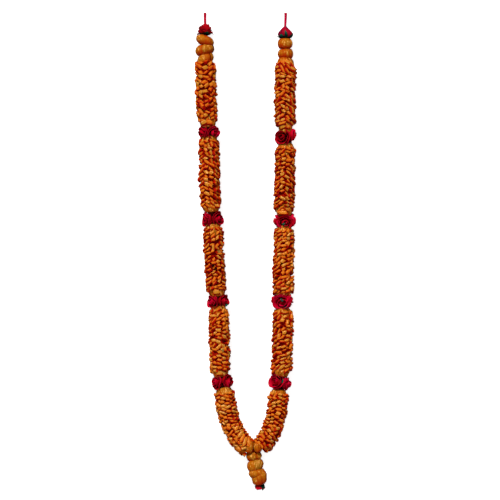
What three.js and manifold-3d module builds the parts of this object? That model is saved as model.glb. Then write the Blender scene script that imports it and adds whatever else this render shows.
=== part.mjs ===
// Marigold garland: two strands of strung petals that meet in a V, with a short pendant below.
// Millimetres. X runs across the garland, Y runs up it towards its tie tails, and Z rises from
// the surface that it lies on. The origin is on that surface, in the middle of the outline.
import * as THREE from 'three';
import { mergeVertices } from 'three/addons/utils/BufferGeometryUtils.js';
import Module from 'manifold-3d';

const wasm = await Module();
wasm.setup();

// String and knots
const STRING_RADIUS = 2;
const TAIL_RADIUS = 2.2;
const STRING_SIDES = 8;
const BORE_CLEARANCE = 0.35;
const SEAT_GAP = 0.3;
const JUNCTION_KNOT_RADIUS = 3.2;
const PENDANT_KNOT_RADIUS = 2.6;
const STRAND_STEPS = 42;
const TAIL_STEPS = 6;
const PENDANT_STEPS = 8;

// Petal ropes, with a narrower collar of smooth petals at each end that meets roses or a ball
const ROPE_RADIUS = 22;
const COLLAR_RADIUS = 15.5;
const COLLAR_LENGTH = 6;
const SHOULDER_LENGTH = 5;
const ROPE_ROW_LENGTH = 15;
const ROPE_SIDES = 12;

// Roses, balls and sepals
const ROSE_REACH = 22;
const ROSE_SIDES = 8;
const BUD_SIDES = 10;
const BALL_SIDES = 10;
const DENT = 0.95;
const SEPAL_CUP_LENGTH = 6.3;
const SEPAL_CUP_FLOOR = 3.2;
const PENDANT_CUP_DEPTH = 1.6;
const PENDANT_POCKET_DEPTH = 5.8;
const END_BALL_TO_KNOT = 1.2;

const petalOrange = new THREE.MeshStandardMaterial({ color: 0xd9701a, roughness: 0.7, metalness: 0 });
const petalGold = new THREE.MeshStandardMaterial({ color: 0xd98a26, roughness: 0.55, metalness: 0 });
const roseCrimson = new THREE.MeshStandardMaterial({ color: 0x9c0a22, roughness: 0.6, metalness: 0 });
const sepalGreen = new THREE.MeshStandardMaterial({ color: 0x1c4a38, roughness: 0.7, metalness: 0 });
const stringPink = new THREE.MeshStandardMaterial({ color: 0xc8143f, roughness: 0.8, metalness: 0 });

// Routes of the strings, from the top of each strand down to the junction knot
const junction = new THREE.Vector3(18.5, -408.4, 15.4);
const leftRoute = routeThrough([
  [-84.8, 482.4, 11], [-84.7, 470, 12.4], [-84.9, 455, 14.6], [-85.4, 434, 15.6], [-84.7, 417, 17.4],
  [-84.1, 400, 18.8], [-83.4, 370, 18.9], [-82.6, 330, 18.9], [-80.4, 295, 18.9], [-77.4, 262, 18.9],
  [-76.1, 232, 18.9], [-75.3, 180, 18.9], [-73.4, 120, 18.9], [-69.4, 80, 18.9], [-67.6, 40, 18.9],
  [-65.2, -7, 18.9], [-61.6, -60, 18.9], [-57.4, -96, 18.9], [-55.6, -140, 18.9], [-54.8, -190, 18.9],
  [-53.2, -238, 18.9], [-48.3, -266, 18.9], [-43.9, -290, 18.9], [-40.9, -310, 18.9], [-36.2, -331, 18.9],
  [-29.2, -352.2, 18.9], [-18.9, -373.2, 18.9], [-7.4, -388, 18.6], [3.4, -397.2, 17.6], [9.5, -401.7, 16.6],
  [15.7, -406.3, 15.6],
]);
const rightRoute = routeThrough([
  [83.3, 480, 11.6], [83.4, 465, 12.8], [83.4, 448, 13.8], [84.3, 427, 14.4], [83.7, 411, 16.8],
  [83.6, 396, 18.8], [83.5, 370, 18.9], [83.1, 330, 18.9], [83.2, 290, 18.9], [84.4, 254, 18.9],
  [84.2, 225, 18.9], [83.2, 180, 18.9], [81.2, 120, 18.9], [81.4, 76, 18.9], [81.2, 40, 18.9],
  [80, -20, 18.9], [79, -70, 18.9], [78, -94, 18.9], [78.6, -140, 18.9], [77.4, -200, 18.9],
  [75, -238, 18.9], [72.6, -266, 18.9], [69.8, -290, 18.9], [68.4, -308, 18.9], [65.8, -328, 18.9],
  [60.8, -348, 18.9], [53.4, -366, 18.9], [44.6, -381.4, 18.7], [34.8, -393.4, 17.8], [27.6, -401, 16.7],
  [21.3, -406.3, 15.6],
]);
const pendantRoute = routeThrough([
  [18.4, -411.9, 15.1], [17.8, -420.4, 13.4], [20, -438, 14], [24.2, -454, 14.1], [28.2, -469, 13.6],
  [30, -479.6, 11.2], [30.2, -484.6, 10.2],
]);

// Free ends of the string: out of the rose's tip, down to the surface and along it
const leftTail = routeThrough([
  [-84.8, 482.7, 11], [-84.8, 484.9, 10.8], [-84.9, 487.1, 10.5], [-84.9, 489.3, 10], [-85, 491.4, 9.2],
  [-85, 493.4, 8.2], [-85.1, 495.3, 7.1], [-85.1, 497.2, 5.9], [-85.2, 499.1, 4.8], [-85.2, 501.1, 3.8],
  [-85.3, 503.2, 3.1], [-85.3, 505.3, 2.6], [-85.3, 507.4, 2.4], [-85.3, 509.5, 2.3], [-85.3, 511.6, 2.3],
  [-85.3, 513.7, 2.3],
]);
const rightTail = routeThrough([
  [83.3, 480.3, 11.6], [83.3, 482.4, 11.2], [83.4, 484.5, 10.7], [83.5, 486.6, 10], [83.6, 488.6, 9.1],
  [83.7, 490.5, 8.1], [83.8, 492.4, 7], [83.9, 494.3, 5.9], [84, 496.3, 4.8], [84.1, 498.4, 3.8],
  [84.2, 500.5, 3.1], [84.3, 502.7, 2.6], [84.4, 504.9, 2.4], [84.4, 507.1, 2.3], [84.4, 509.3, 2.3],
  [84.4, 511.5, 2.3], [84.4, 513.7, 2.3],
]);

// What each strand carries, from the top: a rose, balls, and ropes with bands of three roses between.
// A band's rose has its turn from straight up, in degrees towards +X, its shift up the strand
// and its radius.
const leftStrand = {
  side: 'left',
  route: leftRoute,
  tail: leftTail,
  bud: { radius: 13.4, length: 23.5, aboveString: 7.3 },
  balls: [{ radius: 17.6, length: 20.8 }, { radius: 17.8, length: 20.4 }, { radius: 15.8, length: 13.2 }],
  ropes: [136, 152.7, 145.2, 140.8],
  bands: [
    { length: 25.4, roses: [[-65, 0, 12], [55, 0, 12.2], [175, 0, 12]] },
    { length: 32.8, roses: [[-62, -1.6, 13.6], [60, 1.4, 13.6], [180, 0, 13]] },
    { length: 26.8, roses: [[-60, 0, 12.9], [62, 0, 12.9], [180, 0, 12.6]] },
    { length: 31, roses: [[-58, -1.8, 13], [62, 2, 12.8], [180, 0, 12.8]] },
  ],
  endBall: { radius: 12.5, length: 15, taper: 0.7 },
};
const rightStrand = {
  side: 'right',
  route: rightRoute,
  tail: rightTail,
  bud: { radius: 14.6, length: 25, aboveString: 3.6 },
  balls: [{ radius: 15.9, length: 21.2 }, { radius: 15.8, length: 19.4 }, { radius: 13.4, length: 9.6 }],
  ropes: [137.4, 145.2, 139.6, 138.4],
  bands: [
    { length: 35.6, roses: [[-24, -3, 14.2], [84, 3.6, 13.6], [204, 0, 13.2]] },
    { length: 28, roses: [[5, 0, 13.5], [-115, 0, 13], [125, 0, 13.2]] },
    { length: 32, roses: [[-20, 0, 15], [100, 0, 13.6], [220, 0, 13.4]] },
    { length: 33.8, roses: [[-52, 0, 14.6], [66, 0, 14.2], [186, 0, 13.4]] },
  ],
  endBall: { radius: 11.6, length: 14, taper: 0.7 },
};
const pendant = {
  balls: [
    { radius: 14.6, length: 16.4, taper: 1 },
    { radius: 16.2, length: 19.8, taper: 1 },
    { radius: 16.2, length: 12.4, taper: 0.96 },
    { radius: 16.6, length: 17.6, taper: 0.62 },
  ],
  bud: { radius: 10.6, length: 11.4 },
};

function routeThrough(points) {
  const route = new THREE.CatmullRomCurve3(points.map(([x, y, z]) => new THREE.Vector3(x, y, z)));
  route.arcLengthDivisions = 1000;
  return route;
}

// Solids: a closed mesh becomes one here, and comes back as a geometry when its cuts are made

const WELD = 0.001;

function toSolid(geometry) {
  const bare = geometry.clone();
  bare.deleteAttribute('normal');
  bare.deleteAttribute('uv');
  const merged = mergeVertices(bare, WELD);
  const triangles = [];
  for (let i = 0; i < merged.index.count; i += 3) {
    const [a, b, c] = [0, 1, 2].map((corner) => merged.index.getX(i + corner));
    if (a !== b && b !== c && c !== a) triangles.push(a, b, c);
  }
  return new wasm.Manifold(new wasm.Mesh({
    numProp: 3,
    vertProperties: new Float32Array(merged.getAttribute('position').array),
    triVerts: new Uint32Array(triangles),
  }));
}

function toGeometry(solid) {
  const cut = solid.getMesh();
  const geometry = new THREE.BufferGeometry();
  geometry.setAttribute('position', new THREE.BufferAttribute(cut.vertProperties, 3));
  geometry.setIndex(new THREE.BufferAttribute(cut.triVerts, 1));
  geometry.computeVertexNormals();
  return geometry;
}

function sphere(centre, radius) {
  const ball = new THREE.SphereGeometry(radius, 8, 5);
  return ball.translate(centre.x, centre.y, centre.z);
}

// A round cord along a route
function tube(route, radius, steps) {
  const corners = [];
  for (let side = 0; side < STRING_SIDES; side++) {
    const angle = (2 * Math.PI * side) / STRING_SIDES;
    corners.push(new THREE.Vector2(radius * Math.cos(angle), radius * Math.sin(angle)));
  }
  const section = new THREE.Shape(corners);
  return new THREE.ExtrudeGeometry(section, { steps, extrudePath: route, bevelEnabled: false });
}

// A profile of [radius, distance along] turned about the string, its first facet square to the surface.
// dent(row, side) gives the share of its radius that each point keeps.
function turned(profile, sides, dent = () => 1) {
  const points = profile.map(([radius, along]) => new THREE.Vector2(radius, along));
  const geometry = new THREE.LatheGeometry(points, sides, Math.PI / sides);
  const position = geometry.getAttribute('position');
  for (let i = 0; i < position.count; i++) {
    const keep = dent(i % points.length, Math.floor(i / points.length) % sides);
    position.setX(i, position.getX(i) * keep);
    position.setZ(i, position.getZ(i) * keep);
  }
  return geometry;
}

const dentOddSides = (firstRow, lastRow) => (row, side) => (
  row >= firstRow && row <= lastRow && side % 2 === 1 ? DENT : 1
);

// The place and axes of a route at a distance along it, which may be short of its start or past its end
function frameAt(route, distance) {
  const length = route.getLength();
  const share = THREE.MathUtils.clamp(distance / length, 0, 1);
  const along = route.getTangentAt(share);
  const place = route.getPointAt(share).addScaledVector(along, distance - share * length);
  const up = new THREE.Vector3(0, 0, 1).addScaledVector(along, -along.z).normalize();
  const across = along.clone().cross(up);
  return { place, along, up, across };
}

// Bends a shape that was turned about the string onto its route, from a distance down it
function threaded(geometry, route, from) {
  const position = geometry.getAttribute('position');
  for (let i = 0; i < position.count; i++) {
    const frame = frameAt(route, from + position.getY(i));
    const point = frame.place
      .addScaledVector(frame.across, position.getX(i))
      .addScaledVector(frame.up, position.getZ(i));
    position.setXYZ(i, point.x, point.y, point.z);
  }
  return geometry;
}

// Shapes, each turned about its own axis

function ropeShape(length, bluntEnd) {
  const shoulder = COLLAR_LENGTH + SHOULDER_LENGTH;
  const bluntLength = 3;
  const bodyEnd = bluntEnd ? length - bluntLength : length - shoulder;
  const rows = Math.round((bodyEnd - shoulder) / ROPE_ROW_LENGTH);
  const profile = [[0, 0], [9, 0], [COLLAR_RADIUS, 2], [COLLAR_RADIUS + 0.5, COLLAR_LENGTH]];
  const firstRow = profile.length;
  for (let row = 0; row <= rows; row++) {
    profile.push([ROPE_RADIUS, shoulder + ((bodyEnd - shoulder) * row) / rows]);
  }
  const lastRow = profile.length - 1;
  if (bluntEnd) profile.push([ROPE_RADIUS - 3.5, length]);
  else profile.push([COLLAR_RADIUS + 0.5, length - COLLAR_LENGTH], [COLLAR_RADIUS, length - 2], [9, length]);
  profile.push([0, length]);
  const quilted = (row, side) => (row >= firstRow && row <= lastRow && (row + side) % 2 === 1 ? DENT : 1);
  return turned(profile, ROPE_SIDES, quilted);
}

function ballShape({ radius, length, taper = 1 }) {
  const outline = [[0, 0], [0.3, 0], [0.8, 0.12], [1, 0.38], [1, 0.62], [0.8, 0.88], [0.3, 1], [0, 1]];
  const profile = outline.map(([r, s]) => [r * radius * (1 - (1 - taper) * s * s), s * length]);
  return turned(profile, BALL_SIDES, dentOddSides(2, 5));
}

// A rose that points away from the string, pinched at its base and hollow at its heart
function bandRoseShape(radius) {
  const outline = [[0, 2.4], [2, 2.4], [0.45 * radius, 5], [0.8 * radius, 8.2], [radius, 12.5],
    [0.98 * radius, 16], [0.85 * radius, 19.6], [0.5 * radius, ROSE_REACH], [0, ROSE_REACH - 2.4]];
  return turned(outline, ROSE_SIDES, dentOddSides(4, 6));
}

// A rosebud on the string, tip first, that ends in the sepal cup's hollow
function budShape({ radius, length }) {
  const base = length - SEPAL_CUP_FLOOR - 0.4;
  const rim = length - SEPAL_CUP_LENGTH;
  const profile = [[0, 0], [0.26 * radius, 0.3], [0.6 * radius, 0.2 * length], [0.88 * radius, 0.42 * length],
    [radius, 0.58 * length], [0.72 * radius + 0.2, rim], [0.47 * radius, base], [0, base]];
  return turned(profile, BUD_SIDES, dentOddSides(2, 4));
}

// The sepals as a cup round the bud's base
function sepalCupShape({ radius, length }) {
  const floor = length - SEPAL_CUP_FLOOR;
  const rim = length - SEPAL_CUP_LENGTH;
  const profile = [[0, floor], [0.47 * radius + 0.2, floor], [0.72 * radius + 0.7, rim],
    [0.72 * radius + 1.4, rim + 0.3], [0.66 * radius, length - 1.6], [0.36 * radius, length], [0, length]];
  return turned(profile, BUD_SIDES);
}

// The pendant's sepals and its short rose, whose open face is away from the string
function pendantCupShape({ radius }) {
  const profile = [[0, 0], [0.36 * radius, 0], [0.66 * radius, 1.2], [0.86 * radius, 3.8], [0.8 * radius, 4],
    [0.58 * radius, PENDANT_CUP_DEPTH], [0, PENDANT_CUP_DEPTH]];
  return turned(profile, BUD_SIDES);
}
function pendantRoseShape({ radius, length }) {
  const base = PENDANT_CUP_DEPTH + SEAT_GAP;
  const pocketRadius = PENDANT_KNOT_RADIUS + 0.5;
  const profile = [[0, base], [0.54 * radius, base], [0.76 * radius, 4.3], [radius, 6.6], [0.96 * radius, 9],
    [0.62 * radius, length], [pocketRadius, length - 0.8], [pocketRadius, PENDANT_POCKET_DEPTH],
    [0, PENDANT_POCKET_DEPTH]];
  return turned(profile, BUD_SIDES, dentOddSides(3, 4));
}

// Cutters: the surface that everything lies on, and the strings' bores

const SURFACE_DEPTH = 40;
const surface = toSolid(new THREE.BoxGeometry(600, 1400, SURFACE_DEPTH).translate(0, 0, -SURFACE_DEPTH / 2));

// The bore is a fatter string in the same steps, and a bead joins it to the tail's bore
function bore(route, steps, radius) {
  return toSolid(tube(route, radius + BORE_CLEARANCE, steps));
}

function strandBore(strand) {
  const bead = toSolid(sphere(strand.route.getPoint(0), STRING_RADIUS + 2 * BORE_CLEARANCE));
  const string = bore(strand.route, STRAND_STEPS, STRING_RADIUS);
  return string.add(bore(strand.tail, TAIL_STEPS, TAIL_RADIUS)).add(bead);
}

function piece(name, geometry, material, ...cutters) {
  let solid = toSolid(geometry).subtract(surface);
  for (const cutter of cutters) solid = solid.subtract(cutter);
  const mesh = new THREE.Mesh(toGeometry(solid), material);
  mesh.name = name;
  return mesh;
}

// Three roses round the string at one place on it
function roseBand(strand, number, from) {
  const { length, roses } = strand.bands[number - 1];
  return roses.map(([turn, shift, radius], i) => {
    const frame = frameAt(strand.route, from + length / 2 - shift);
    const angle = THREE.MathUtils.degToRad(turn);
    const outward = frame.up.clone().multiplyScalar(Math.cos(angle))
      .addScaledVector(frame.across, -Math.sin(angle));
    const sideways = outward.clone().cross(frame.along);
    const placed = new THREE.Matrix4().makeBasis(sideways, outward, frame.along).setPosition(frame.place);
    const rose = bandRoseShape(radius).applyMatrix4(placed);
    return piece(`${strand.side}_band_${number}_rose_${i + 1}`, rose, roseCrimson);
  });
}

function buildStrand(strand) {
  const { side, route, tail, bud, balls, ropes, bands, endBall } = strand;
  const cutter = strandBore(strand);
  const junctionRoom = toSolid(sphere(junction, JUNCTION_KNOT_RADIUS + SEAT_GAP));
  const group = new THREE.Group();
  const thread = (name, shape, from, material) => {
    group.add(piece(`${side}_${name}`, threaded(shape, route, from), material, cutter, junctionRoom));
  };
  group.add(piece(`${side}_tie_tail`, tube(tail, TAIL_RADIUS, TAIL_STEPS), stringPink));
  group.add(piece(`${side}_string`, tube(route, STRING_RADIUS, STRAND_STEPS), stringPink));

  let at = -bud.aboveString;
  thread('top_rose', budShape(bud), at, roseCrimson);
  thread('top_sepals', sepalCupShape(bud), at, sepalGreen);
  at += bud.length + SEAT_GAP;
  balls.forEach((ball, i) => {
    thread(`top_ball_${i + 1}`, ballShape(ball), at, petalGold);
    at += ball.length + SEAT_GAP;
  });
  ropes.forEach((length, i) => {
    thread(`petal_rope_${i + 1}`, ropeShape(length, false), at, petalOrange);
    at += length;
    group.add(...roseBand(strand, i + 1, at));
    at += bands[i].length;
  });
  const endBallAt = route.getLength() - END_BALL_TO_KNOT - endBall.length;
  thread(`petal_rope_${ropes.length + 1}`, ropeShape(endBallAt - SEAT_GAP - at, true), at, petalOrange);
  thread('end_ball', ballShape(endBall), endBallAt, petalGold);
  return group;
}

function buildPendant() {
  const group = new THREE.Group();
  const cutter = bore(pendantRoute, PENDANT_STEPS, STRING_RADIUS);
  const thread = (name, shape, from, material) => {
    group.add(piece(`pendant_${name}`, threaded(shape, pendantRoute, from), material, cutter));
  };
  const knot = new THREE.Mesh(sphere(junction, JUNCTION_KNOT_RADIUS), stringPink);
  knot.name = 'junction_knot';
  group.add(knot);
  group.add(piece('pendant_string', tube(pendantRoute, STRING_RADIUS, PENDANT_STEPS), stringPink));
  let at = SEAT_GAP;
  pendant.balls.forEach((ball, i) => {
    thread(`ball_${i + 1}`, ballShape(ball), at, petalGold);
    at += ball.length + SEAT_GAP;
  });
  thread('sepals', pendantCupShape(pendant.bud), at, sepalGreen);
  thread('rose', pendantRoseShape(pendant.bud), at, roseCrimson);
  const end = frameAt(pendantRoute, pendantRoute.getLength() + SEAT_GAP + PENDANT_KNOT_RADIUS);
  const endKnot = new THREE.Mesh(sphere(end.place, PENDANT_KNOT_RADIUS), stringPink);
  endKnot.name = 'pendant_knot';
  group.add(endKnot);
  return group;
}

const garland = new THREE.Group();
garland.add(buildStrand(leftStrand), buildStrand(rightStrand), buildPendant());

export default garland;
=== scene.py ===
"""A marigold garland laid flat: two strands of strung petals that meet in a V, over a short pendant.

Metres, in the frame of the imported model: X across the garland, Y up it towards its tie tails, Z up
from the surface that it lies on. A piece on a string is modelled straight, with its own Z along the
string and its own Y facing up, and is then threaded onto the string's route.
"""

import math
import random
from contextlib import contextmanager

import bmesh
import bpy
import numpy as np
from mathutils import Matrix, Vector


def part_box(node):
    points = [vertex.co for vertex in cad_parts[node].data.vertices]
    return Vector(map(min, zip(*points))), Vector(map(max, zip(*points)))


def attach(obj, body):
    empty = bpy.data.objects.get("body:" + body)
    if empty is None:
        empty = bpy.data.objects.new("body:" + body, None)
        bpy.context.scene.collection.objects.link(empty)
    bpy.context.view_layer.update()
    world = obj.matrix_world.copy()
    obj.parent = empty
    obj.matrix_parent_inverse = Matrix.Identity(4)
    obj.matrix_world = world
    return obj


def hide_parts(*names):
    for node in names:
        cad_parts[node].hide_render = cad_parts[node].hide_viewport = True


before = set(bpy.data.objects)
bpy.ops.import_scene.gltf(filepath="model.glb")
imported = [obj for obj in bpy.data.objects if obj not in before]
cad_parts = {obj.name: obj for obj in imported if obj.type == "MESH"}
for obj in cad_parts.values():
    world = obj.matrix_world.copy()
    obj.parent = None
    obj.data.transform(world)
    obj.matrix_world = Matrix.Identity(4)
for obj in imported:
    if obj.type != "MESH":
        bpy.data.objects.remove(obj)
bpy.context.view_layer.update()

# How far a rose is pushed down the string
ROSE_SHIFTS = {"left_band_2_rose_2": 0.0035}

# Routes of the strings, as the construction runs them
LEFT_ROUTE = [
    (-0.0848, 0.4824, 0.011), (-0.0847, 0.47, 0.0124), (-0.0849, 0.455, 0.0146),
    (-0.0854, 0.434, 0.0156), (-0.0847, 0.417, 0.0174), (-0.0841, 0.4, 0.0188), (-0.0834, 0.37, 0.0189),
    (-0.0826, 0.33, 0.0189), (-0.0804, 0.295, 0.0189), (-0.0774, 0.262, 0.0189),
    (-0.0761, 0.232, 0.0189), (-0.0753, 0.18, 0.0189), (-0.0734, 0.12, 0.0189), (-0.0694, 0.08, 0.0189),
    (-0.0676, 0.04, 0.0189), (-0.0652, -0.007, 0.0189), (-0.0616, -0.06, 0.0189),
    (-0.0574, -0.096, 0.0189), (-0.0556, -0.14, 0.0189), (-0.0548, -0.19, 0.0189),
    (-0.0532, -0.238, 0.0189), (-0.0483, -0.266, 0.0189), (-0.0439, -0.29, 0.0189),
    (-0.0409, -0.31, 0.0189), (-0.0362, -0.331, 0.0189), (-0.0292, -0.3522, 0.0189),
    (-0.0189, -0.3732, 0.0189), (-0.0074, -0.388, 0.0186), (0.0034, -0.3972, 0.0176),
    (0.0095, -0.4017, 0.0166), (0.0157, -0.4063, 0.0156),
]
RIGHT_ROUTE = [
    (0.0833, 0.48, 0.0116), (0.0834, 0.465, 0.0128), (0.0834, 0.448, 0.0138), (0.0843, 0.427, 0.0144),
    (0.0837, 0.411, 0.0168), (0.0836, 0.396, 0.0188), (0.0835, 0.37, 0.0189), (0.0831, 0.33, 0.0189),
    (0.0832, 0.29, 0.0189), (0.0844, 0.254, 0.0189), (0.0842, 0.225, 0.0189), (0.0832, 0.18, 0.0189),
    (0.0812, 0.12, 0.0189), (0.0814, 0.076, 0.0189), (0.0812, 0.04, 0.0189), (0.08, -0.02, 0.0189),
    (0.079, -0.07, 0.0189), (0.078, -0.094, 0.0189), (0.0786, -0.14, 0.0189), (0.0774, -0.2, 0.0189),
    (0.075, -0.238, 0.0189), (0.0726, -0.266, 0.0189), (0.0698, -0.29, 0.0189),
    (0.0684, -0.308, 0.0189), (0.0658, -0.328, 0.0189), (0.0608, -0.348, 0.0189),
    (0.0534, -0.366, 0.0189), (0.0446, -0.3814, 0.0187), (0.0348, -0.3934, 0.0178),
    (0.0276, -0.401, 0.0167), (0.0213, -0.4063, 0.0156),
]
PENDANT_ROUTE = [
    (0.0184, -0.4119, 0.0151), (0.0178, -0.4204, 0.0134), (0.02, -0.438, 0.014),
    (0.0242, -0.454, 0.0141), (0.0282, -0.469, 0.0136), (0.03, -0.4796, 0.0112),
    (0.0302, -0.4846, 0.0102),
]
LEFT_TAIL = [
    (-0.0848, 0.4827, 0.011), (-0.0848, 0.4849, 0.0108), (-0.0849, 0.4871, 0.0105),
    (-0.0849, 0.4893, 0.01), (-0.085, 0.4914, 0.0092), (-0.085, 0.4934, 0.0082),
    (-0.0851, 0.4953, 0.0071), (-0.0851, 0.4972, 0.0059), (-0.0852, 0.4991, 0.0048),
    (-0.0852, 0.5011, 0.0038), (-0.0853, 0.5032, 0.0031), (-0.0853, 0.5053, 0.0026),
    (-0.0853, 0.5074, 0.0024), (-0.0853, 0.5095, 0.0023), (-0.0853, 0.5116, 0.0023),
    (-0.0853, 0.5137, 0.0023),
]
RIGHT_TAIL = [
    (0.0833, 0.4803, 0.0116), (0.0833, 0.4824, 0.0112), (0.0834, 0.4845, 0.0107),
    (0.0835, 0.4866, 0.01), (0.0836, 0.4886, 0.0091), (0.0837, 0.4905, 0.0081), (0.0838, 0.4924, 0.007),
    (0.0839, 0.4943, 0.0059), (0.084, 0.4963, 0.0048), (0.0841, 0.4984, 0.0038),
    (0.0842, 0.5005, 0.0031), (0.0843, 0.5027, 0.0026), (0.0844, 0.5049, 0.0024),
    (0.0844, 0.5071, 0.0023), (0.0844, 0.5093, 0.0023), (0.0844, 0.5115, 0.0023),
    (0.0844, 0.5137, 0.0023),
]

# The tie tails' lengths are along their routes
TAIL_DIAMETER = 0.0044

# The view is straight down on the middle of the picture
PICTURE_SIDE = 1.05
PICTURE_MIDDLE = (0.00945, 0.01428)
MIDDLE_HEIGHT = 0.019
LENS = 250
SENSOR = 36

# Light: a soft key from beyond the garland's top, and a dimmer sky
KEY = 3.1
KEY_FROM = (-0.3, 1.1, 1.15)
KEY_ANGLE = 0.14
KEY_PLACE = (-0.5, 1.5, 2)
AMBIENT = 0.42

# The floor, just under the surface that the garland lies on
FLOOR_SIDE = 40
FLOOR_HEIGHT = -0.0005
FLOOR_GLOW = 0.78

# Strings
STRING_DIAMETER = 0.004
YARN_GROOVE = 0.88
TAIL_TURN = 0.009
TAIL_STEPS = 8
STRING_TURN = 0.012
STRING_STEPS = 6

# A folded petal: its depth, how wide its flat top and its foot spread, and how much brighter, as painted
# light from the key beyond the garland's top, the up-string side of its edges and of its face is
FOLD_DEPTH = 0.0085
FLAT_TOP = 1.65
FOOT_SPREAD = 1.6
PAINTED_LIGHT_EDGE = 1.3
PAINTED_LIGHT_FACE = 0.55

# How far a rope reaches from the string, at its collars and in its core, how much that varies, and the
# length of the shoulders between the collars and the rest
ROPE_REACH = 0.0216
COLLAR_REACH = 0.0178
CORE_REACH = 0.016
REACH_SPREAD = 0.0016
SHOULDER = 0.005

# The core starts a little before the weave and is longer by this, more so in a blunt rope
CORE_START = 0.002
CORE_EXTRA = 0.004
BLUNT_EXTRA = 0.008

# How a petal's length, depth and breadth vary, how it leans over and how deep one end is tucked in
PETAL_SPANS = ((0.78, 1.08), (0.85, 1.1), (0.72, 1.04))
SIDE_TILTS = (-0.28, 0.28)
END_TILTS = (-0.42, 0.22)
END_FACING = 0.5
TUCK = 0.16

# Balls: the lap of their petals, how far these swirl, the share of a ball that its inside takes up, and
# the number of petals of each kind
LAP = 0.0014
SWIRL = 0.3
BALL_HEART = 0.8
TOP_BALL_PETALS = {"left": 10, "right": 15}
PENDANT_BALL_PETALS = 9
END_BALL_PETALS = 9
CAP_PETALS = 11

# The weave keeps a little room at a rope's ends, less at a blunt one, over whose edge its petals turn.
# A cap shows where it takes up enough of an end.
END_ROOM = 0.0015
BLUNT_ROOM = 0.001
BLUNT_EDGE = 0.004
SHOWN_CAP = 0.003

# Where the strands meet, their ropes draw in on their inner sides and run a little further on
INNER_DRAW = 0.0026
INNER_RUN = 0.002
MEETING_LENGTH = 0.03

# Thin sheets: the petals of balls and roses, and the sepals
PETAL_THICKNESS = 0.0005
SEPAL_THICKNESS = 0.0006

# How softly a piece turns where it presses on the surface, and the angles up to which edges look round
PRESS_SOFTNESS = 0.0012
SOFT = math.radians(60)
CRISP = math.radians(26)

# How far a string's line runs straight on past its ends
OVERRUN = 0.04
OVERRUN_STEPS = 40

# Where the seeds of the random draws count from
SEEDS = {
    "left": {"rose": 30, "ball": 0, "rope": 0, "band": 200, "end": 60},
    "right": {"rose": 31, "ball": 10, "rope": 100, "band": 240, "end": 61},
    "pendant": {"rose": 80, "ball": 70},
}

# A rose takes a little more of the string than its node, and presses against its neighbours
BAND_FILL = {
    "left_band_1": 1.36, "left_band_2": 1.32, "left_band_3": 1.32, "left_band_4": 1.36,
    "right_band_1": 1.35, "right_band_2": 1.2, "right_band_3": 1.2, "right_band_4": 1.22,
}
# The bands whose petals have less painted shade down to their hearts, and whose hearts are dark crimson
# rather than near black painted shadow
BAND_GLOW = {"right_band_2": 1.1, "right_band_3": 1.35, "right_band_4": 1.2}


# Routes


def centripetal(points, steps=24):
    """Points along the centripetal curve through the given ones."""
    points = [Vector(p) for p in points]
    ends = [2 * points[0] - points[1], *points, 2 * points[-1] - points[-2]]
    line = []
    for a, b, c, d in zip(ends, ends[1:], ends[2:], ends[3:]):
        t1 = (b - a).length ** 0.5
        t2 = t1 + (c - b).length ** 0.5
        t3 = t2 + (d - c).length ** 0.5
        for step in range(steps):
            t = t1 + (t2 - t1) * step / steps
            ab = a.lerp(b, t / t1)
            bc = b.lerp(c, (t - t1) / (t2 - t1))
            cd = c.lerp(d, (t - t2) / (t3 - t2))
            line.append(ab.lerp(bc, t / t2).lerp(bc.lerp(cd, (t - t1) / (t3 - t1)), (t - t1) / (t2 - t1)))
    return [*line, points[-1]]


def corners(mesh):
    """The points of a mesh, as rows of x, y, z."""
    flat = np.empty(3 * len(mesh.vertices))
    mesh.vertices.foreach_get("co", flat)
    return flat.reshape(-1, 3)


def move_corners(mesh, points):
    mesh.vertices.foreach_set("co", points.ravel())
    mesh.update()


def unit(rows):
    return rows / np.linalg.norm(rows, axis=-1, keepdims=True)


class Route:
    """A string's line. It runs straight on past both ends, so that a piece may stand over them."""

    def __init__(self, points):
        line = [np.array(p) for p in centripetal(points)]
        shares = np.arange(1, OVERRUN_STEPS + 1)[:, None] / OVERRUN_STEPS
        before = line[0] + OVERRUN * shares[::-1] * unit(line[0] - line[1])
        after = line[-1] + OVERRUN * shares * unit(line[-1] - line[-2])
        self.line = np.concatenate([before, line, after])
        steps = np.linalg.norm(np.diff(self.line, axis=0), axis=1)
        self.stations = np.concatenate([[0], np.cumsum(steps)]) - OVERRUN
        self.tangents = np.gradient(self.line, self.stations, axis=0)
        self.length = self.stations[-1] - OVERRUN

    def between(self, rows, stations):
        """What rows that go with the line's points come to at stations between them."""
        return np.stack([np.interp(stations, self.stations, axis) for axis in rows.T], axis=-1)

    def frames(self, stations):
        """Places on the string, with the directions to its side, up from it and along it."""
        place = self.between(self.line, stations)
        along = unit(self.between(self.tangents, stations))
        up = unit(np.array([0, 0, 1]) - along * along[..., 2:])
        return place, np.cross(up, along), up, along

    def nearest(self, points):
        """The station nearest to each point, and how far off it is."""
        gaps = np.linalg.norm(points[:, None] - self.line[None], axis=2)
        return self.stations[gaps.argmin(1)], gaps.min(1)

    def measure(self, node):
        """Where a node starts and ends on the string, and how far it reaches from it."""
        stations, gaps = self.nearest(corners(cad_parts[node].data))
        return stations.min(), stations.max(), gaps.max()

    def thread(self, model, start):
        """Bends a straight model onto the string, from a station on, and presses it to the surface."""
        x, y, z = corners(model.data).T[..., None]
        place, side, up, _ = self.frames(start + z[:, 0])
        move_corners(model.data, pressed(place + x * side + y * up))
        return model


def pressed(points):
    """Keeps points on the surface or above it, with a soft turn where they meet it."""
    height = points[:, 2]
    points[:, 2] = (height + np.sqrt(height**2 + PRESS_SOFTNESS**2)) / 2
    return points


# Modelling


def only(*models):
    """Selects these models and nothing else."""
    bpy.ops.object.select_all(action="DESELECT")
    for model in models:
        model.select_set(True)
    bpy.context.view_layer.objects.active = models[0]


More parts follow.
